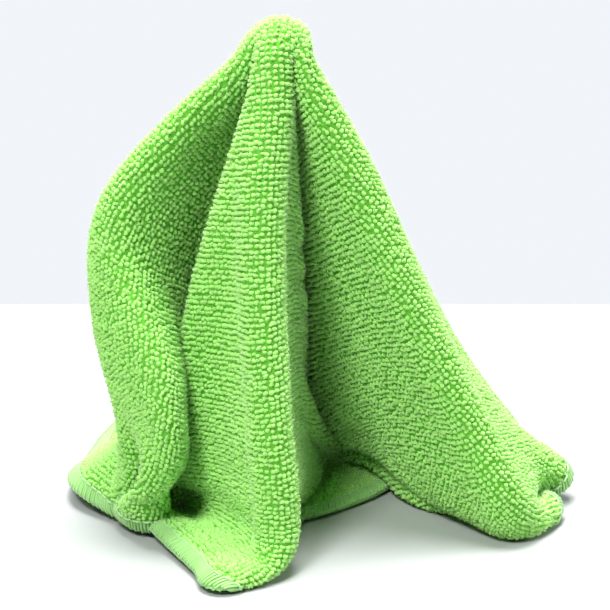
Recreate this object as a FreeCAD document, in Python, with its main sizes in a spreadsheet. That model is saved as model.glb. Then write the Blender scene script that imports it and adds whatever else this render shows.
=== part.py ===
"""Square microfibre cleaning cloth, pinched at its centre and set down so that it stands in a peak.

The cloth is one terry panel with an overlocked edge. Its drape is a surface through hand-chosen
points along twenty-two threads that run from the pinch to the edge. Every textile piece is a strip or
sheet of its own thickness about that surface. Millimetres, +Z up, front towards -Y.
"""
import FreeCAD, Part
import math
import os

os.makedirs("parts", exist_ok=True)
doc = FreeCAD.newDocument("standing_cloth")

# ---------------------------------------------------------------- driving dimensions
SIZES = [
    ("cloth_side", 400.0),        # cut size, edge to edge
    ("terry_thickness", 3.6),     # knit ground with loops on both faces
    ("hem_width", 5.6),           # overlock, across the edge
    ("hem_thickness", 2.4),       # thread wrapped over the bare ground
    ("stitch_width", 1.1),        # needle thread, lying along the hem's inner edge
    ("stitch_height", 0.5),
]
sheet = doc.addObject("Spreadsheet::Sheet", "Sizes")
for row, (alias, value) in enumerate(SIZES, start=1):
    sheet.set("A%d" % row, alias)
    sheet.set("B%d" % row, str(value))
    sheet.setAlias("B%d" % row, alias)
doc.recompute()


def size(alias):
    return float(sheet.get(alias))


HALF = size("cloth_side") / 2

# ---------------------------------------------------------------- the drape
# Each thread starts at the pinch and ends at the edge. Its first number is the place of its end
# along the edge, from the middle of the front and running to the left: 200 is a corner, 400 the
# middle of the left side. LEVELS are the fractions of the thread at which its points lie.
PINCH = (0, 0, 174)
LEVELS = [0.0, 0.1, 0.25, 0.45, 0.65, 0.85, 1.0]
EDGE_LENGTH = 8 * HALF
THREADS = [
    # front ridge
    (0, [(0, -6, 156), (-3, -14, 127), (-3, -20, 88), (-1, -26, 49), (0, -31, 11), (-13, -44, 2)]),
    (50, [(-3, -5, 156), (-9, -9, 125), (-15, -9, 85), (-19, -8, 45), (-22, -3, 12), (-36, 2, 5)]),
    (100, [(-7, -2, 155), (-18, -2, 123), (-31, 4, 82), (-40, 13, 40), (-42, 30, 6), (-50, 49, 2)]),
    # valley between the front and left ridges; its corner is tucked under
    (200, [(-4, 10, 149), (-7, 22, 109), (-8, 46, 61), (-10, 70, 11), (-34, 86, 3), (-52, 104, 3)]),
    (300, [(-8, 8, 155), (-17, 25, 122), (-28, 35, 84), (-28, 38, 44), (-35, 48, 10), (-60, 70, 3)]),
    # left ridge: a flap, its right crease first and then its outer fold
    (360, [(-10, 6, 158), (-26, 14, 134), (-45, 8, 98), (-35, -1, 59), (-37, 4, 26), (-54, 26, 3)]),
    (400, [(-11, 2, 163), (-32, 5, 144), (-56, 10, 110), (-58, 13, 72), (-46, 15, 32), (-43, 14, 1)]),
    (440, [(-11, 6, 161), (-33, 12, 140), (-57, 22, 106), (-57, 28, 68), (-48, 32, 28), (-74, 39, 6)]),
    (500, [(-8, 9, 160), (-25, 22, 134), (-44, 46, 94), (-52, 62, 56), (-52, 78, 18), (-64, 98, 1)]),
    # valley between the left and back ridges; its corner lies on the floor
    (600, [(-4, 14, 154), (-11, 36, 116), (-20, 66, 76), (-28, 96, 40), (-37, 133, 12), (-44, 177, 1)]),
    (700, [(-1, 14, 154), (-4, 34, 122), (-9, 58, 82), (-14, 76, 42), (-20, 94, 10), (-24, 106, 3)]),
    # back ridge
    (800, [(1, 14, 163), (2, 38, 144), (4, 68, 118), (6, 98, 90), (9, 128, 60), (12, 158, 36)]),
    (900, [(2, 13, 154), (7, 34, 122), (14, 60, 82), (20, 80, 42), (28, 98, 10), (38, 112, 1)]),
    # valley between the back and right ridges; its corner lies on the floor
    (1000, [(5, 13, 153), (15, 34, 114), (28, 62, 72), (44, 90, 34), (58, 120, 10), (68, 156, 1)]),
    (1100, [(7, 9, 157), (18, 24, 125), (34, 44, 84), (50, 64, 45), (66, 82, 12), (72, 100, 3)]),
    # right ridge, long and nearly straight; the cloth below it is tucked under
    (1200, [(10, 2, 162), (26, 6, 133), (43, 12, 96), (60, 20, 61), (82, 31, 28), (98, 46, 5)]),
    (1250, [(9, -1, 157), (23, -1, 126), (41, -1, 86), (60, -1, 46), (80, -2, 8), (87, 26, 2)]),
    (1300, [(8, 3, 154), (16, 9, 120), (28, 18, 76), (38, 26, 40), (50, 32, 6), (68, 38, 3)]),
    # valley between the right and front ridges; its corner is tucked under the right ridge
    (1400, [(4, 10, 149), (7, 28, 110), (9, 54, 60), (12, 78, 10), (40, 84, 3), (62, 98, 3)]),
    (1500, [(4, 3, 154), (5, 8, 122), (6, 20, 84), (8, 34, 42), (14, 52, 6), (26, 34, 2)]),
    (1560, [(2, -2, 156), (1, -5, 126), (1, -7, 88), (2, -8, 50), (2, -5, 11), (-31, -10, 1)]),
    (1585, [(1, -4, 156), (-1, -10, 126), (-1, -14, 88), (1, -19, 50), (2, -20, 11), (-21, -31, 1)]),
]


def spline_weights(knots, x):
    """Index of the span that holds x, and the Hermite weights and steps of a smooth curve there."""
    span = 0
    while span < len(knots) - 2 and x > knots[span + 1]:
        span += 1
    step = knots[span + 1] - knots[span]
    f = (x - knots[span]) / step
    return span, step, (2 * f**3 - 3 * f**2 + 1, f**3 - 2 * f**2 + f, 3 * f**2 - 2 * f**3, f**3 - f**2)


def smooth(knots, points, slopes, x):
    span, step, (a, b, c, d) = spline_weights(knots, x)
    return points[span] * a + slopes[span] * (b * step) + points[span + 1] * c + slopes[span + 1] * (d * step)


def slopes_of(knots, points):
    """Slope at each point of a row: the average of its two chords, one chord at the ends."""
    chords = [(points[i + 1] - points[i]) * (1 / (knots[i + 1] - knots[i])) for i in range(len(points) - 1)]
    inner = [(chords[i] + chords[i + 1]) * 0.5 for i in range(len(chords) - 1)]
    return [chords[0]] + inner + [chords[-1]]


PLACES = [place for place, thread in THREADS]
VECTORS = [[FreeCAD.Vector(*PINCH)] + [FreeCAD.Vector(*p) for p in thread] for place, thread in THREADS]
THREAD_SLOPES = [slopes_of(LEVELS, thread) for thread in VECTORS]
COUNT = len(THREADS)


def edge_distance(u, v):
    """How far round the edge the point (u, v) of the flat cloth looks, from the middle of the front."""
    reach = max(abs(u), abs(v))
    u, v = u * HALF / reach, v * HALF / reach
    side = 2 * HALF
    if v <= -HALF + 1e-9 and u <= 0:
        return -u
    if u <= -HALF + 1e-9:
        return HALF + (v + HALF)
    if v >= HALF - 1e-9:
        return HALF + side + (u + HALF)
    if u >= HALF - 1e-9:
        return HALF + 2 * side + (HALF - v)
    return 4 * side - u


def drape(u, v):
    """Where the point (u, v) of the flat cloth lies: the middle of its thickness."""
    level = max(abs(u), abs(v)) / HALF
    if level < 1e-6:
        return VECTORS[0][0]
    place = edge_distance(u, v)
    first = sum(1 for thread_place in PLACES if thread_place <= place) - 1
    around = range(first - 1, first + 3)
    near = [smooth(LEVELS, VECTORS[i % COUNT], THREAD_SLOPES[i % COUNT], level) for i in around]
    knots = [PLACES[i % COUNT] + EDGE_LENGTH * math.floor(i / COUNT) for i in around]
    return smooth(knots, near, slopes_of(knots, near), place)


def normal(u, v):
    """Outward normal of the drape."""
    d = 3.0
    lo_u, hi_u = max(u - d, -HALF), min(u + d, HALF)
    lo_v, hi_v = max(v - d, -HALF), min(v + d, HALF)
    along_u = drape(hi_u, v) - drape(lo_u, v)
    along_v = drape(u, hi_v) - drape(u, lo_v)
    return along_u.cross(along_v).normalize()


def off_surface(u, v, height):
    """Point at a height above the middle of the cloth."""
    return drape(u, v) + normal(u, v) * height


def pressed(rows):
    """The same poles, none under the floor: there the loops are pressed flat."""
    return [[FreeCAD.Vector(pole.x, pole.y, max(pole.z, 0)) for pole in row] for row in rows]


# ---------------------------------------------------------------- surfaces, edges and solids
DEGREE = 3


def knots_for(count, degree):
    """Clamped uniform knots of a spline with this many poles."""
    spans = count - degree
    return list(range(spans + 1)), [degree + 1] + [1] * (spans - 1) + [degree + 1]


def face(rows):
    """Smooth face over a grid of poles, or a face ruled between rows where there are only two."""
    u_degree = min(DEGREE, len(rows) - 1)
    v_degree = min(DEGREE, len(rows[0]) - 1)
    u_knots, u_mults = knots_for(len(rows), u_degree)
    v_knots, v_mults = knots_for(len(rows[0]), v_degree)
    spline = Part.BSplineSurface()
    spline.buildFromPolesMultsKnots(rows, u_mults, v_mults, u_knots, v_knots, False, False,
                                    u_degree, v_degree)
    return spline.toShape()


def slab(top, low):
    """Solid between two grids of poles of the same size: two broad faces and four sides."""
    faces = [face(top), face(low)]
    for end in (0, -1):
        faces.append(face([top[end], low[end]]))
        faces.append(face([[row[end] for row in top], [row[end] for row in low]]))
    shell = Part.Shell(faces)
    shell.sewShape()
    solid = Part.Solid(Part.Shell(shell.Faces))
    if solid.Volume < 0:
        solid.reverse()
    return solid


GRID = 23
PANEL_HALF = HALF - size("hem_width")
SIDES = {"front": (0, -1), "right": (1, 0), "back": (0, 1), "left": (-1, 0)}


def steps(half):
    return [half * (2 * i / (GRID - 1) - 1) for i in range(GRID)]


def panel():
    half_thickness = size("terry_thickness") / 2
    places = steps(PANEL_HALF)
    return slab(pressed([[off_surface(u, v, half_thickness) for v in places] for u in places]),
                pressed([[off_surface(u, v, -half_thickness) for v in places] for u in places]))


def edge_row(side, across, height):
    """Poles along one side of the cloth, from the panel (across 0) to the cut edge (across 1)."""
    out_u, out_v = SIDES[side]
    row = []
    for near, far in zip(steps(PANEL_HALF), steps(HALF)):
        inner = off_surface(out_u * PANEL_HALF + out_v * near, out_v * PANEL_HALF + out_u * near, height)
        outer = off_surface(out_u * HALF + out_v * far, out_v * HALF + out_u * far, height)
        row.append(inner * (1 - across) + outer * across)
    return row


def hem(side):
    height = size("hem_thickness") / 2
    return slab([edge_row(side, 0, height), edge_row(side, 1, height)],
                [edge_row(side, 0, -height), edge_row(side, 1, -height)])


def stitch(side):
    low = size("hem_thickness") / 2
    top = low + size("stitch_height")
    width = size("stitch_width") / size("hem_width")
    return slab([edge_row(side, 0, top), edge_row(side, width, top)],
                [edge_row(side, 0, low), edge_row(side, width, low)])


# ---------------------------------------------------------------- pieces
shapes = {"terry_cloth": panel()}
for side_name in SIDES:
    shapes[side_name + "_hem"] = hem(side_name)
    shapes[side_name + "_stitch"] = stitch(side_name)

whole = FreeCAD.BoundBox()
for shape in shapes.values():
    whole.add(shape.optimalBoundingBox(True, False))
to_origin = FreeCAD.Placement(FreeCAD.Vector(-whole.Center.x, -whole.Center.y, 0), FreeCAD.Rotation())
floor_block = doc.addObject("Part::Box", "Floor")
floor_block.setExpression("Length", "Sizes.cloth_side * 2")
floor_block.setExpression("Width", "Sizes.cloth_side * 2")
floor_block.setExpression("Height", "Sizes.cloth_side / 10")
floor_block.setExpression("Placement.Base.x", "-Sizes.cloth_side")
floor_block.setExpression("Placement.Base.y", "-Sizes.cloth_side")
floor_block.setExpression("Placement.Base.z", "-Sizes.cloth_side / 10")

pieces = []
for node, shape in shapes.items():
    draped = doc.addObject("Part::Feature", node)
    draped.Shape = shape
    draped.Placement = to_origin
    piece = draped
    if node != "terry_cloth":
        piece = doc.addObject("Part::Cut", node + "_pressed")
        piece.Base = draped
        piece.Tool = floor_block
        draped.Label = node + "_unpressed"
    piece.Label = node
    pieces.append(piece)
doc.recompute()

# ---------------------------------------------------------------- check and write
for item in doc.Objects:
    if "Invalid" in item.State or "Error" in item.State:
        raise RuntimeError("%s failed: %s" % (item.Label, item.State))
for piece in pieces:
    if piece.Shape.isNull() or not piece.Shape.isValid():
        raise RuntimeError("%s has no valid shape" % piece.Label)
for piece in pieces:
    piece.Shape.exportStep(os.path.join("parts", piece.Label + ".step"))
    box = piece.Shape.optimalBoundingBox(True, False)
    print("%-13s %d solid(s) %9.1f mm3  z %.2f to %.2f" % (
        piece.Label, len(piece.Shape.Solids), piece.Shape.Volume, box.ZMin, box.ZMax))
    for part_face in piece.Shape.Faces:
        if part_face.Surface.TypeId == "Part::GeomPlane":
            print("   flat face", part_face.Area, part_face.CenterOfMass)
print("pinch at", to_origin.Base + FreeCAD.Vector(*PINCH))
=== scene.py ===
"""Looks of a square microfibre cleaning cloth, pinched at its centre and standing in a peak.

The cloth is laid along listed threads, relaxed as a sheet that resists stretching and pushes
its own layers apart, and then given its loops, overlocked edge and needle stitches as geometry.
Lengths of the cloth are in millimetres until a mesh is made; meshes are in metres.
"""
import math

import bpy
import numpy as np
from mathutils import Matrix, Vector


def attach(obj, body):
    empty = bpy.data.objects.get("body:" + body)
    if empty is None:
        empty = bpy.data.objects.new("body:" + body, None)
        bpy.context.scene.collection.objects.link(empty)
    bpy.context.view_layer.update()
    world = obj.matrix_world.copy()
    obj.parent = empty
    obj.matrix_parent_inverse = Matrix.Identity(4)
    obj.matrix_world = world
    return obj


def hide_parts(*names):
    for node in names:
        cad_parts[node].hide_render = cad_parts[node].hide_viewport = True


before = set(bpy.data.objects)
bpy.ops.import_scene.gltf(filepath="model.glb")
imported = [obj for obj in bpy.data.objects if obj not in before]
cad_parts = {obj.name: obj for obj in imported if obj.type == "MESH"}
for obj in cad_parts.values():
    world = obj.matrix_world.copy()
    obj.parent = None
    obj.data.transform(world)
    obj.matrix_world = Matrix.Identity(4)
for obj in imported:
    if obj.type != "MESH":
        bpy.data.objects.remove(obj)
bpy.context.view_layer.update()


# ---------------------------------------------------------------- sizes, in millimetres
HALF = 200.0            # the cloth is 400 x 400
HEM = 5.6               # width of the overlock
SHIFT = np.array((-11.6, -68.6, 0.0))    # from the pinch's own axes to the frame's
GROUND = 0.8            # half the thickness of the knit ground
PILE_TOP = 2.1          # height of the loops' tops above the middle of the cloth
PITCH = 1.8             # from loop to loop, both ways
LAYER_GAP = 4.2         # nearest two layers of the cloth come, middle to middle
TABLE_GAP = 2.4         # middle of the cloth above the table
rng = np.random.default_rng(12)

# ---------------------------------------------------------------- the threads of the drape
# Each thread starts at the pinch and ends at the edge. Its first number is the place of its end
# along the edge, from the middle of the front and running to the left.
PINCH = (0, 0, 174)
LEVELS = np.array([0, 0.1, 0.25, 0.45, 0.65, 0.85, 1.0])
EDGE_LENGTH = 8 * HALF
THREADS = [
    # front ridge
    (0, [(0, -6, 156), (-3, -14, 127), (-3, -20, 88), (-1, -26, 49), (0, -31, 11), (-13, -44, 2)]),
    (50, [(-3, -5, 156), (-9, -8, 125), (-14, -5, 85), (-17, -2, 45), (-20, 3, 12), (-36, 2, 5)]),
    (100, [(-7, -2, 155), (-17, 1, 123), (-28, 11, 82), (-35, 22, 40), (-39, 34, 6), (-50, 49, 2)]),
    # valley between the front and left ridges; its corner is tucked under
    (200, [(-4, 10, 149), (-7, 22, 109), (-8, 46, 61), (-10, 70, 11), (-34, 86, 3), (-52, 104, 3)]),
    (300, [(-8, 8, 155), (-17, 25, 122), (-28, 33, 84), (-30, 30, 46), (-35, 44, 12), (-60, 70, 3)]),
    # left ridge: a flap, its right crease first and then its outer fold
    (360, [(-10, 6, 158), (-26, 14, 134), (-45, 8, 98), (-36, -9, 59), (-38, -4, 26), (-54, 24, 3)]),
    (400, [(-11, 2, 163), (-32, 5, 144), (-56, 9, 110), (-58, 9, 72), (-48, 10, 32), (-43, 12, 1)]),
    (440, [(-11, 6, 161), (-33, 12, 140), (-57, 22, 106), (-57, 28, 68), (-48, 32, 28), (-74, 39, 6)]),
    (500, [(-8, 9, 160), (-25, 22, 134), (-44, 46, 94), (-52, 62, 56), (-52, 78, 18), (-64, 98, 1)]),
    # valley between the left and back ridges; its corner lies on the floor
    (600, [(-4, 14, 154), (-11, 36, 116), (-20, 66, 76), (-28, 96, 40), (-37, 133, 12), (-44, 177, 1)]),
    (700, [(-1, 14, 154), (-4, 34, 122), (-9, 58, 82), (-14, 76, 42), (-20, 94, 10), (-24, 106, 3)]),
    # back ridge
    (800, [(1, 14, 163), (2, 38, 144), (4, 68, 118), (6, 98, 90), (9, 128, 60), (12, 158, 36)]),
    (900, [(2, 13, 154), (7, 34, 122), (14, 60, 82), (20, 80, 42), (28, 98, 10), (38, 112, 1)]),
    # valley between the back and right ridges; its corner lies on the floor
    (1000, [(5, 13, 153), (15, 34, 114), (28, 62, 72), (44, 90, 34), (58, 120, 10), (68, 156, 1)]),
    (1100, [(7, 9, 157), (18, 24, 125), (34, 44, 84), (50, 64, 45), (66, 82, 12), (72, 100, 3)]),
    # right ridge, long and nearly straight; the cloth below it is tucked under
    (1200, [(10, 2, 162), (26, 6, 133), (43, 12, 96), (60, 20, 61), (82, 31, 28), (98, 46, 5)]),
    (1250, [(9, -1, 157), (23, -1, 126), (41, -1, 86), (60, -1, 46), (80, -2, 8), (87, 26, 2)]),
    (1300, [(8, 3, 154), (16, 9, 120), (28, 18, 76), (38, 26, 40), (50, 32, 6), (68, 38, 3)]),
    # valley between the right and front ridges; its corner is tucked under the right ridge
    (1400, [(4, 10, 149), (7, 28, 110), (9, 54, 60), (12, 78, 10), (40, 84, 3), (62, 98, 3)]),
    (1500, [(4, 3, 154), (5, 8, 122), (6, 20, 84), (8, 34, 42), (14, 52, 6), (26, 34, 2)]),
    (1560, [(2, -2, 156), (1, -5, 126), (1, -7, 88), (2, -8, 50), (2, -5, 11), (-31, -10, 1)]),
    (1585, [(1, -4, 156), (-1, -10, 126), (-1, -14, 88), (1, -19, 50), (2, -20, 11), (-21, -31, 1)]),
]
PLACES = np.array([place for place, points in THREADS], float)
POINTS = np.array([[PINCH] + points for place, points in THREADS], float)
COUNT = len(THREADS)


def hermite(f):
    return 2 * f**3 - 3 * f**2 + 1, f**3 - 2 * f**2 + f, 3 * f**2 - 2 * f**3, f**3 - f**2


def level_slopes(points):
    chords = (points[1:] - points[:-1]) / np.diff(LEVELS)[:, None]
    return np.concatenate([chords[:1], (chords[1:] + chords[:-1]) / 2, chords[-1:]])


SLOPES = np.stack([level_slopes(points) for points in POINTS])


def along_thread(index, level):
    span = np.clip(np.searchsorted(LEVELS, level, side="right") - 1, 0, len(LEVELS) - 2)
    step = LEVELS[span + 1] - LEVELS[span]
    a, b, c, d = [w[:, None] for w in hermite((level - LEVELS[span]) / step)]
    step = step[:, None]
    return (POINTS[index, span] * a + SLOPES[index, span] * b * step
            + POINTS[index, span + 1] * c + SLOPES[index, span + 1] * d * step)


def edge_place(u, v):
    """How far round the edge the point (u, v) of the flat cloth looks, from the middle of the front."""
    reach = np.maximum(np.maximum(abs(u), abs(v)), 1e-9)
    u = u * HALF / reach
    v = v * HALF / reach
    side = 2 * HALF
    near = 1e-6
    place = 4 * side - u
    place = np.where(u >= HALF - near, HALF + 2 * side + HALF - v, place)
    place = np.where(v >= HALF - near, HALF + side + u + HALF, place)
    place = np.where(u <= -HALF + near, HALF + v + HALF, place)
    return np.where((v <= -HALF + near) & (u <= 0), -u, place)


def laid(u, v):
    """Where the threads put the points (u, v) of the flat cloth."""
    level = np.maximum(abs(u), abs(v)) / HALF
    place = edge_place(u, v)
    first = np.clip(np.searchsorted(PLACES, place, side="right") - 1, 0, COUNT - 1)
    around = [first + k for k in (-1, 0, 1, 2)]
    knots = [PLACES[i % COUNT] + EDGE_LENGTH * np.floor_divide(i, COUNT) for i in around]
    points = [along_thread(i % COUNT, level) for i in around]
    chords = [(points[k + 1] - points[k]) / (knots[k + 1] - knots[k])[:, None] for k in range(3)]
    step = (knots[2] - knots[1])[:, None]
    a, b, c, d = hermite((place[:, None] - knots[1][:, None]) / step)
    return (points[1] * a + (chords[0] + chords[1]) / 2 * step * b
            + points[2] * c + (chords[1] + chords[2]) / 2 * step * d)


# ---------------------------------------------------------------- relaxing the cloth
GRID = 101
ROUNDS = 110
SPACING = 2 * HALF / (GRID - 1)


def hold_strength(u, v):
    """How firmly each point is held where the threads put it: firmly at the front, hardly behind."""
    strength = np.interp(edge_place(u, v), [0, 470, 540, 600, 1000, 1080, 1150, 1600],
                         [1, 1, 0.4, 0.08, 0.04, 0.4, 1, 1])
    level = np.maximum(abs(u), abs(v)) / HALF
    return strength * np.interp(level, [0, 0.06, 0.12, 0.8, 1], [0.25, 0.6, 1, 1, 0.35])


def length_rules(flat):
    """Pairs of points, in groups that share no point: (first, second, flat distance, stiffness, keep)."""
    index = np.arange(GRID * GRID).reshape(GRID, GRID)
    rules = []

    def add(first, second, stiffness, crosswise):
        rows = min(first.shape[0], second.shape[0])
        cols = min(first.shape[1], second.shape[1])
        a = first[:rows, :cols].ravel()
        b = second[:rows, :cols].ravel()
        away = np.linalg.norm(flat[b] - flat[a], axis=1)[:, None]
        rules.append((a, b, away, stiffness, crosswise))

    for gap, stiffness in ((1, 1.0), (2, 0.2), (4, 0.2)):
        for start in range(2 * gap):
            add(index[start:GRID - gap:2 * gap, :], index[start + gap::2 * gap, :], stiffness, gap == 1)
            add(index[:, start:GRID - gap:2 * gap], index[:, start + gap::2 * gap], stiffness, gap == 1)
    for start in (0, 1):
        add(index[start:-1:2, :-1], index[start + 1::2, 1:], 0.3, True)
        add(index[start:-1:2, 1:], index[start + 1::2, :-1], 0.3, True)
    return rules


def keep_lengths(at, rules):
    """Draws pairs back to their flat distance: the cloth gives when it is closed up, hardly when pulled."""
    for a, b, away, stiffness, is_yarn in rules:
        line = at[b] - at[a]
        now = np.sqrt((line * line).sum(1, keepdims=True))
        if is_yarn:
            want = np.clip(now, 0.88 * away, 1.01 * away)
            give = np.where(now < want, 0.4, 1.0)
        else:
            want = np.maximum(now, 0.96 * away)
            give = 1.0
        move = 0.5 * stiffness * give * (1 - want / np.maximum(now, 1e-9)) * line
        at[a] += move
        at[b] -= move


def keep_apart(at, flat):
    """Pushes layers of the cloth apart where they are nearer than LAYER_GAP."""
    cell = np.floor(at / LAYER_GAP).astype(np.int64)
    cell -= cell.min(0) - 1
    size = cell.max(0) + 2
    key = (cell[:, 0] * size[1] + cell[:, 1]) * size[2] + cell[:, 2]
    order = np.argsort(key, kind="stable")
    ranked = key[order]
    own_patch = 2.6 * SPACING
    move = np.zeros_like(at)
    touches = np.zeros(len(at))
    around = [(i, j, k) for i in (-1, 0, 1) for j in (-1, 0, 1) for k in (-1, 0, 1)
              if (i, j, k) >= (0, 0, 0)]
    for i, j, k in around:
        offset = (i * size[1] + j) * size[2] + k
        low = np.searchsorted(ranked, key + offset, side="left")
        high = np.searchsorted(ranked, key + offset, side="right")
        for nth in range(int((high - low).max())):
            one = np.nonzero(high - low > nth)[0]
            two = order[low[one] + nth]
            apart = np.abs(flat[one] - flat[two]).max(1) > own_patch
            if offset == 0:
                apart &= two > one
            one, two = one[apart], two[apart]
            line = at[two] - at[one]
            now = np.linalg.norm(line, axis=1)
            near = now < LAYER_GAP
            one, two, line, now = one[near], two[near], line[near], now[near]
            push = (0.5 * (now - LAYER_GAP) / np.maximum(now, 1e-6))[:, None] * line
            np.add.at(move, one, push)
            np.add.at(move, two, -push)
            np.add.at(touches, one, 1)
            np.add.at(touches, two, 1)
    hit = touches > 0
    at[hit] += 0.9 * move[hit] / touches[hit][:, None]


def faired(at, share):
    """Moves each point a share of the way to its neighbours, as thick terry rounds its own folds."""
    net = at.reshape(GRID, GRID, 3)
    share = share.reshape(GRID, GRID, 1)
    out = net.copy()
    mean = 0.25 * (net[2:, 1:-1] + net[:-2, 1:-1] + net[1:-1, 2:] + net[1:-1, :-2])
    out[1:-1, 1:-1] += share[1:-1, 1:-1] * (mean - net[1:-1, 1:-1])
    for end in (0, -1):
        out[end, 1:-1] += share[end, 1:-1] * (0.5 * (net[end, 2:] + net[end, :-2]) - net[end, 1:-1])
        out[1:-1, end] += share[1:-1, end] * (0.5 * (net[2:, end] + net[:-2, end]) - net[1:-1, end])
    return out.reshape(-1, 3)


def relaxed():
    ticks = np.linspace(-HALF, HALF, GRID)
    u, v = [axis.ravel() for axis in np.meshgrid(ticks, ticks, indexing="ij")]
    flat = np.stack([u, v], 1)
    wanted = laid(u, v)
    strength = hold_strength(u, v)
    hold = 0.3 * strength[:, None]
    rounding = 0.14 - 0.1 * strength
    rules = length_rules(flat)
    at = wanted.copy()
    before = at.copy()
    for turn in range(ROUNDS):
        speed = (at - before) * 0.6
        pace = np.linalg.norm(speed, axis=1, keepdims=True)
        speed *= np.minimum(1, 1 / np.maximum(pace, 1e-9))
        before = at.copy()
        at = at + speed
        at[:, 2] -= 0.03
        for _ in range(3):
            keep_lengths(at, rules)
        at += (wanted - at) * hold
        at = faired(at, rounding)
        if turn % 2 == 0:
            keep_apart(at, flat)
        low = at[:, 2] < TABLE_GAP
        at[low, 2] = TABLE_GAP
        at[low, :2] = (before[low, :2] + at[low, :2]) / 2
    return at.reshape(GRID, GRID, 3) + SHIFT


def twice_as_fine(net):
    """A smooth net with twice the steps, along the first axis."""
    ends = np.concatenate([2 * net[:1] - net[1:2], net, 2 * net[-1:] - net[-2:-1]])
    middle = (9 * (ends[1:-2] + ends[2:-1]) - ends[:-3] - ends[3:]) / 16
    out = np.empty((2 * len(net) - 1,) + net.shape[1:])
    out[::2] = net
    out[1::2] = middle
    return out


net = relaxed()
for _ in range(2):
    net = twice_as_fine(net)
    net = twice_as_fine(net.transpose(1, 0, 2)).transpose(1, 0, 2)
FINE = len(net)
along_u = np.gradient(net, axis=0)
along_v = np.gradient(net, axis=1)
normals = np.cross(along_u, along_v)
normals /= np.maximum(np.linalg.norm(normals, axis=2, keepdims=True), 1e-9)


def looked_up(table, u, v):
    """Values of a table over the cloth at the points (u, v)."""
    x = np.clip((np.asarray(u, float) + HALF) / (2 * HALF) * (FINE - 1), 0, FINE - 1.001)
    y = np.clip((np.asarray(v, float) + HALF) / (2 * HALF) * (FINE - 1), 0, FINE - 1.001)
    i = x.astype(int)
    j = y.astype(int)
    f = (x - i)[..., None]
    g = (y - j)[..., None]
    return (table[i, j] * (1 - f) * (1 - g) + table[i + 1, j] * f * (1 - g)
            + table[i, j + 1] * (1 - f) * g + table[i + 1, j + 1] * f * g)


def over(u, v, height):
    """Points at a height above the middle of the cloth."""
    return looked_up(net, u, v) + looked_up(normals, u, v) * np.asarray(height)[..., None]


# ---------------------------------------------------------------- finishes
def finish_of(name, colour, roughness, sheen, sheen_tint, specular=0.25):
    material = bpy.data.materials.new(name)
    material.use_nodes = True
    shader = material.node_tree.nodes["Principled BSDF"]
    shader.inputs["Base Color"].default_value = (*colour, 1)
    shader.inputs["Roughness"].default_value = roughness
    shader.inputs["Sheen Weight"].default_value = sheen
    shader.inputs["Sheen Roughness"].default_value = 0.45
    shader.inputs["Sheen Tint"].default_value = (*sheen_tint, 1)
    shader.inputs["Specular IOR Level"].default_value = specular
    return material


GREEN = np.array((0.4, 0.79, 0.19))
PALE = (0.95, 1.0, 0.85)
# the knit ground between the loops is coloured much darker and greener than the loops: painted shade for
# the gaps between them
terry_ground_painted_shade = finish_of("terry_ground_painted_shade", (0.12, 0.44, 0.035), 0.95, 0, PALE)
loop_finishes = [finish_of("loop_%d" % i, GREEN * tone, 0.85, 0.6, PALE)
                 for i, tone in enumerate((0.94, 0.98, 1.02, 1.06), start=1)]
overlock_finish = finish_of("overlock_thread", (0.33, 0.66, 0.20), 0.5, 0.3, (0.9, 1.0, 0.85), 0.5)
hem_ground = finish_of("hem_ground", (0.26, 0.56, 0.16), 0.8, 0.2, PALE)
needle_finish = finish_of("needle_thread", (0.42, 0.75, 0.30), 0.45, 0.3, (0.9, 1.0, 0.85), 0.5)


# ---------------------------------------------------------------- making meshes
def mesh_object(name, points, faces, finishes, finish_index=None, smooth=True):
    """points in millimetres, faces as an array of rows with three or four corners."""
    faces = np.asarray(faces, np.int32)
    sides = faces.shape[1]
    mesh = bpy.data.meshes.new(name)
    mesh.vertices.add(len(points))
    mesh.vertices.foreach_set("co", (np.asarray(points) * 0.001).astype(np.float32).ravel())
    mesh.loops.add(faces.size)
    mesh.loops.foreach_set("vertex_index", faces.ravel())
    mesh.polygons.add(len(faces))
    mesh.polygons.foreach_set("loop_start", np.arange(len(faces), dtype=np.int32) * sides)
    mesh.polygons.foreach_set("use_smooth", np.full(len(faces), smooth))
    for finish in finishes:
        mesh.materials.append(finish)
    if finish_index is not None:
        mesh.polygons.foreach_set("material_index", np.asarray(finish_index, np.int32))
    mesh.update()
    mesh.validate()
    obj = bpy.data.objects.new(name, mesh)
    bpy.context.scene.collection.objects.link(obj)
    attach(obj, "root")
    return obj


def tube_faces(rings, sides, closed_ends=True):
    """Quads of one tube whose rings of points follow one another."""
    quads = []
    for ring in range(rings - 1):
        for side in range(sides):
            other = (side + 1) % sides
            quads.append((ring * sides + side, ring * sides + other,
                          (ring + 1) * sides + other, (ring + 1) * sides + side))
    if closed_ends and sides == 4:
        quads.append((3, 2, 1, 0))
        last = (rings - 1) * sides
        quads.append((last, last + 1, last + 2, last + 3))
    return np.array(quads)


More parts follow.
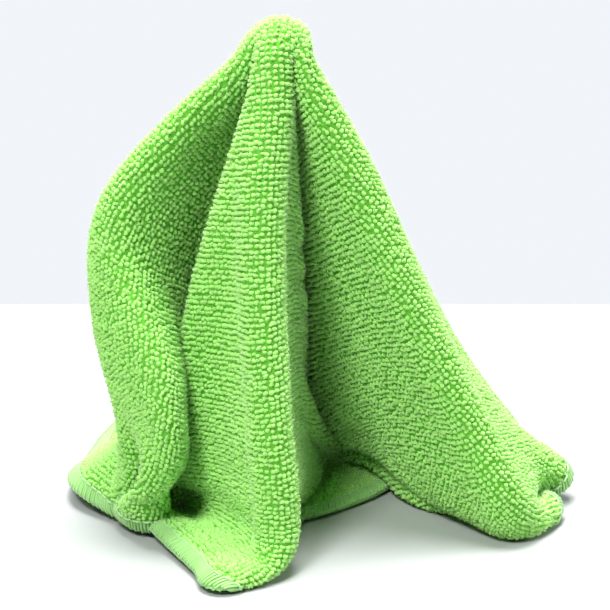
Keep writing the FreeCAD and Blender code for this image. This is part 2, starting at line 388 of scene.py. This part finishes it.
def tubes(paths, radii, sides):
    """Points and quads of many tubes; paths is (tube, ring, 3) and radii (ring,) or (tube, ring)."""
    count, rings, _ = paths.shape
    ahead = np.gradient(paths, axis=1)
    ahead /= np.maximum(np.linalg.norm(ahead, axis=2, keepdims=True), 1e-9)
    chord = paths[:, -1] - paths[:, 0]
    bow = np.cross(chord[:, None], paths[:, rings // 2][:, None] - paths[:, 0][:, None])
    helper = np.where(np.linalg.norm(bow, axis=2, keepdims=True) > 1e-3, bow, np.array((0.31, 0.57, 0.76)))
    across = np.cross(ahead, helper)
    across /= np.maximum(np.linalg.norm(across, axis=2, keepdims=True), 1e-9)
    third = np.cross(ahead, across)
    turn = np.arange(sides) * 2 * math.pi / sides + math.pi / sides
    radii = np.broadcast_to(radii, (count, rings))[..., None, None]
    points = paths[:, :, None] + radii * (across[:, :, None] * np.cos(turn)[None, None, :, None]
                                          + third[:, :, None] * np.sin(turn)[None, None, :, None])
    faces = tube_faces(rings, sides)
    each = np.arange(count)[:, None, None] * rings * sides
    return points.reshape(-1, 3), (faces[None] + each).reshape(-1, faces.shape[1])


# ---------------------------------------------------------------- ground of the cloth
def ground_sheet():
    count = 201
    ticks = np.linspace(-HALF + HEM - 0.6, HALF - HEM + 0.6, count)
    u, v = np.meshgrid(ticks, ticks, indexing="ij")
    top = over(u, v, np.full(u.shape, GROUND)).reshape(-1, 3)
    low = over(u, v, np.full(u.shape, -GROUND)).reshape(-1, 3)
    index = np.arange(count * count).reshape(count, count)
    quads = np.stack([index[:-1, :-1], index[1:, :-1], index[1:, 1:], index[:-1, 1:]], 2).reshape(-1, 4)
    below = quads[:, ::-1] + count * count
    rim = np.concatenate([index[:, 0], index[-1, 1:], index[-2::-1, -1], index[0, -2::-1]])
    start, end = rim[:-1], rim[1:]
    side = np.stack([end, start, start + count * count, end + count * count], 1)
    faces = np.concatenate([quads, below, side])
    # the ground sheet carries the painted shade of the gaps between the loops
    return mesh_object("terry_ground_painted_shade", np.concatenate([top, low]), faces, [terry_ground_painted_shade])


# ---------------------------------------------------------------- loops
def loop_paths(u, v, side, rings):
    """Centre lines of loops that stand on one side of the cloth, each turned and leant at random."""
    count = len(u)
    centre = looked_up(net, u, v)
    up = looked_up(normals, u, v) * side
    east = looked_up(along_u, u, v)
    east -= up * (east * up).sum(1, keepdims=True)
    east /= np.maximum(np.linalg.norm(east, axis=1, keepdims=True), 1e-9)
    north = np.cross(up, east)
    turn = rng.normal(0.15, 0.4, count)[:, None]
    flat_way = east * np.cos(turn) + north * np.sin(turn)
    lean = rng.normal(0, 0.22, (count, 2))
    rise = up + east * lean[:, :1] + north * lean[:, 1:]
    rise /= np.linalg.norm(rise, axis=1, keepdims=True)
    width = rng.uniform(0.26, 0.44, count)[:, None, None]
    height = rng.uniform(0.65, 1.1, count)[:, None, None]
    angle = np.linspace(math.radians(-25), math.radians(205), rings)[None, :, None]
    foot = 0.5
    return (centre[:, None] + up[:, None] * foot + flat_way[:, None] * width * np.cos(angle)
            + rise[:, None] * height * np.sin(angle))


def loop_grid():
    reach = HALF - HEM - 0.8
    count = int(2 * reach / PITCH)
    return np.linspace(-reach, reach, count)


def pile(name, side, parts, rings, sides):
    """Loops over one side of the cloth, in strips, each strip one object."""
    ticks = loop_grid()
    pieces = []
    for part, columns in enumerate(np.array_split(ticks, parts), start=1):
        u, v = [axis.ravel() for axis in np.meshgrid(columns, ticks, indexing="ij")]
        v = v + rng.normal(0, 0.2, len(v))
        u = u + rng.normal(0, 0.2, len(u))
        paths = loop_paths(u, np.clip(v, -HALF + HEM, HALF - HEM), side, rings)
        thickness = rng.uniform(0.54, 0.70, (len(u), 1)) * np.ones((1, rings))
        points, faces = tubes(paths, thickness, sides)
        points = points + rng.normal(0, 0.09, points.shape)
        shade = rng.choice(len(loop_finishes), len(u), p=[0.2, 0.35, 0.3, 0.15])
        shade = np.repeat(shade, len(faces) // len(u))
        pieces.append(mesh_object("%s_%d" % (name, part), points, faces, loop_finishes, shade))
    return pieces


def fuzz(name, per_loop):
    """Fine fibre ends that stand off the loops."""
    ticks = loop_grid()
    u, v = [axis.ravel() for axis in np.meshgrid(ticks, ticks, indexing="ij")]
    u = np.repeat(u, per_loop) + rng.uniform(-1, 1, len(u) * per_loop)
    v = np.repeat(v, per_loop) + rng.uniform(-1, 1, len(v) * per_loop)
    up = looked_up(normals, u, v)
    base = looked_up(net, u, v) + up * (PILE_TOP - 0.7)
    way = up + rng.normal(0, 0.6, up.shape)
    way /= np.linalg.norm(way, axis=1, keepdims=True)
    across = np.cross(way, rng.normal(0, 1, up.shape))
    across /= np.linalg.norm(across, axis=1, keepdims=True)
    tip = base + way * rng.uniform(0.5, 1.3, len(u))[:, None]
    points = np.stack([base - across * 0.07, base + across * 0.07, tip], 1).reshape(-1, 3)
    faces = np.arange(len(points)).reshape(-1, 3)
    return mesh_object(name, points, faces, [loop_finishes[2]], smooth=False)


# ---------------------------------------------------------------- overlocked edge
SIDES = {"front": (0, -1), "right": (1, 0), "back": (0, 1), "left": (-1, 0)}
# the overlock's section, from the needle line over the top, round the cut edge and back below:
# distance in from the edge as a share of the hem's width, and height above the middle of the cloth
SECTION = np.array([(1.0, 1.25), (0.72, 1.3), (0.4, 1.25), (0.14, 1.0), (0.0, 0.45),
                    (0.0, -0.45), (0.14, -1.0), (0.4, -1.25), (0.72, -1.3), (1.0, -1.25)])


def hem_points(side, along, inward, height):
    """Points of a hem: along the side, inward from the cut edge, at a height above the middle."""
    out_u, out_v = SIDES[side]
    room = np.clip(np.minimum(along + HALF, HALF - along) / HEM, 0.05, 1)
    inward = inward * room
    u = out_u * (HALF - inward) + abs(out_v) * along
    v = out_v * (HALF - inward) + abs(out_u) * along
    return over(u, v, height)


def hem(side):
    stations = np.linspace(-HALF, HALF, 321)
    along = stations[:, None] * np.ones(len(SECTION))[None]
    core = SECTION * np.array((HEM * 0.97, 0.8))
    rings = hem_points(side, along, np.broadcast_to(core[:, 0] + 0.15, along.shape),
                       np.broadcast_to(core[:, 1], along.shape))
    count = len(SECTION)
    core_faces = tube_faces(len(stations), count, False)
    core_points = rings.reshape(-1, 3)
    pitch = 1.15
    wraps = np.arange(-HALF + 0.4, HALF - 0.4, pitch)
    steps = np.linspace(0, 1, 15)
    share = np.interp(steps, np.linspace(0, 1, count), SECTION[:, 0])
    height = np.interp(steps, np.linspace(0, 1, count), SECTION[:, 1])
    scallop = 0.32 * np.cos(math.pi * np.arange(len(wraps)))[:, None]
    slant = 1.5 * (share - 0.5) * np.where(steps < 0.5, 1, -1)
    inward = HEM * share[None] - scallop * (1 - share[None]) + rng.normal(0, 0.05, (len(wraps), 1))
    where = wraps[:, None] + slant[None] * 0.9
    paths = hem_points(side, np.clip(where, -HALF, HALF), inward, np.broadcast_to(height, inward.shape))
    wrap_points, wrap_faces = tubes(paths, np.full(len(steps), 0.5), 5)
    # the chain of looper thread that winds along the cut edge itself
    edge_along = np.arange(-HALF, HALF + 0.01, 0.55)
    phase = edge_along / pitch * math.pi
    chain_path = hem_points(side, edge_along, 0.05 + 0.3 * np.sin(phase), 0.5 * np.cos(phase))[None]
    chain, chain_faces = tubes(chain_path, np.full(len(edge_along), 0.38), 4)
    faces = np.concatenate([core_faces, wrap_faces + len(core_points),
                            chain_faces + len(core_points) + len(wrap_points)])
    finish = np.repeat((0, 1), (len(core_faces), len(wrap_faces) + len(chain_faces)))
    return mesh_object(side + "_overlock", np.concatenate([core_points, wrap_points, chain]), faces,
                       [hem_ground, overlock_finish], finish)


def stitches():
    """Needle thread along the inner edge of the hem: one dash to each stitch, above and below."""
    length = 3.2
    starts = np.arange(-HALF + HEM, HALF - HEM - length, length + 0.35)
    steps = np.linspace(0, 1, 7)
    along = starts[:, None] + length * steps[None]
    bow = 1.35 + 0.4 * np.sin(math.pi * steps)[None] * np.ones((len(starts), 1))
    dashes = []
    for side in SIDES:
        inward = HEM - 0.25 + rng.normal(0, 0.06, (len(starts), 1)) + np.zeros_like(along)
        dashes += [hem_points(side, along, inward, bow), hem_points(side, along, inward, -bow)]
    thickness = np.array([0.2, 0.36, 0.4, 0.4, 0.4, 0.36, 0.2])
    points, faces = tubes(np.concatenate(dashes), thickness, 4)
    return mesh_object("needle_thread", points, faces, [needle_finish])


# ---------------------------------------------------------------- the object
ground = ground_sheet()
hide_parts("terry_cloth")
pile_pieces = pile("loops_outer", 1, 10, 5, 5) + pile("loops_inner", -1, 7, 4, 5)
pile_pieces.append(fuzz("fibre_ends", 4))
for side_name in SIDES:
    overlock = hem(side_name)
    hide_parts(side_name + "_hem")
needle_thread = stitches()
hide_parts(*[side_name + "_stitch" for side_name in SIDES])

# ---------------------------------------------------------------- table, backdrop, light and camera
def plain(name, colour, roughness):
    material = bpy.data.materials.new(name)
    material.use_nodes = True
    shader = material.node_tree.nodes["Principled BSDF"]
    shader.inputs["Base Color"].default_value = (*colour, 1)
    shader.inputs["Roughness"].default_value = roughness
    shader.inputs["Specular IOR Level"].default_value = 0.2
    return material


def table_top():
    """A white table whose far edge is rounded off behind the cloth."""
    far = 0.268
    radius = 0.03
    profile = [(-1.6, 0.0), (far - radius, 0.0)]
    for k in range(1, 9):
        angle = math.radians(90 - k * 11.25)
        profile.append((far - radius + radius * math.cos(angle), -radius + radius * math.sin(angle)))
    profile.append((far, -0.6))
    points = [(x, y, z) for x in (-1.6, 1.6) for y, z in profile]
    count = len(profile)
    faces = [(i, count + i, count + i + 1, i + 1) for i in range(count - 1)]
    mesh = bpy.data.meshes.new("table")
    mesh.from_pydata(points, [], faces)
    for polygon in mesh.polygons:
        polygon.use_smooth = True
    mesh.materials.append(plain("table_white", (0.48, 0.49, 0.495), 0.7))
    obj = bpy.data.objects.new("table", mesh)
    bpy.context.scene.collection.objects.link(obj)
    return obj


def area_light(name, place, size, watts):
    """A round soft light aimed at the foot of the cloth."""
    light = bpy.data.lights.new(name, "AREA")
    light.shape = "DISK"
    light.size = size
    light.energy = watts
    obj = bpy.data.objects.new(name, light)
    obj.location = place
    obj.rotation_euler = (Vector((0, 0, 0.05)) - Vector(place)).to_track_quat("-Z", "Y").to_euler()
    bpy.context.scene.collection.objects.link(obj)


def backdrop():
    """A bright white wall well behind the table."""
    mesh = bpy.data.meshes.new("backdrop")
    behind = 1.6
    points = [(-2.5, behind, -0.8), (2.5, behind, -0.8), (2.5, behind, 2.2), (-2.5, behind, 2.2)]
    mesh.from_pydata(points, [], [(0, 1, 2, 3)])
    material = bpy.data.materials.new("backdrop_white")
    material.use_nodes = True
    shader = material.node_tree.nodes["Principled BSDF"]
    shader.inputs["Base Color"].default_value = (0, 0, 0, 1)
    shader.inputs["Specular IOR Level"].default_value = 0
    shader.inputs["Emission Color"].default_value = (0.885, 0.915, 0.96, 1)
    shader.inputs["Emission Strength"].default_value = 1.0
    mesh.materials.append(material)
    obj = bpy.data.objects.new("backdrop", mesh)
    bpy.context.scene.collection.objects.link(obj)
    return obj


table_top()
backdrop()
world = bpy.data.worlds.new("white_room")
world.use_nodes = True
world.node_tree.nodes["Background"].inputs["Color"].default_value = (0.87, 0.9, 0.95, 1)
world.node_tree.nodes["Background"].inputs["Strength"].default_value = 0.08
bpy.context.scene.world = world
area_light("top", (0.0, 0.0, 1.1), 0.6, 24)
area_light("key", (-0.35, -0.85, 1.0), 0.35, 14)
area_light("right", (1.0, 0.1, 0.6), 0.4, 4)

bpy.context.scene.view_settings.view_transform = "Standard"
camera_data = bpy.data.cameras.new("camera")
camera_data.lens = 133.6
camera_data.sensor_width = 36
camera = bpy.data.objects.new("camera", camera_data)
aim = Vector((0.0092 + SHIFT[0] / 1000, SHIFT[1] / 1000, 0.0828))
elevation = math.radians(15)
distance = 0.736
camera.location = aim + Vector((0, -math.cos(elevation), math.sin(elevation))) * distance
camera.rotation_euler = (aim - camera.location).to_track_quat("-Z", "Y").to_euler()
bpy.context.scene.collection.objects.link(camera)
bpy.context.scene.camera = camera
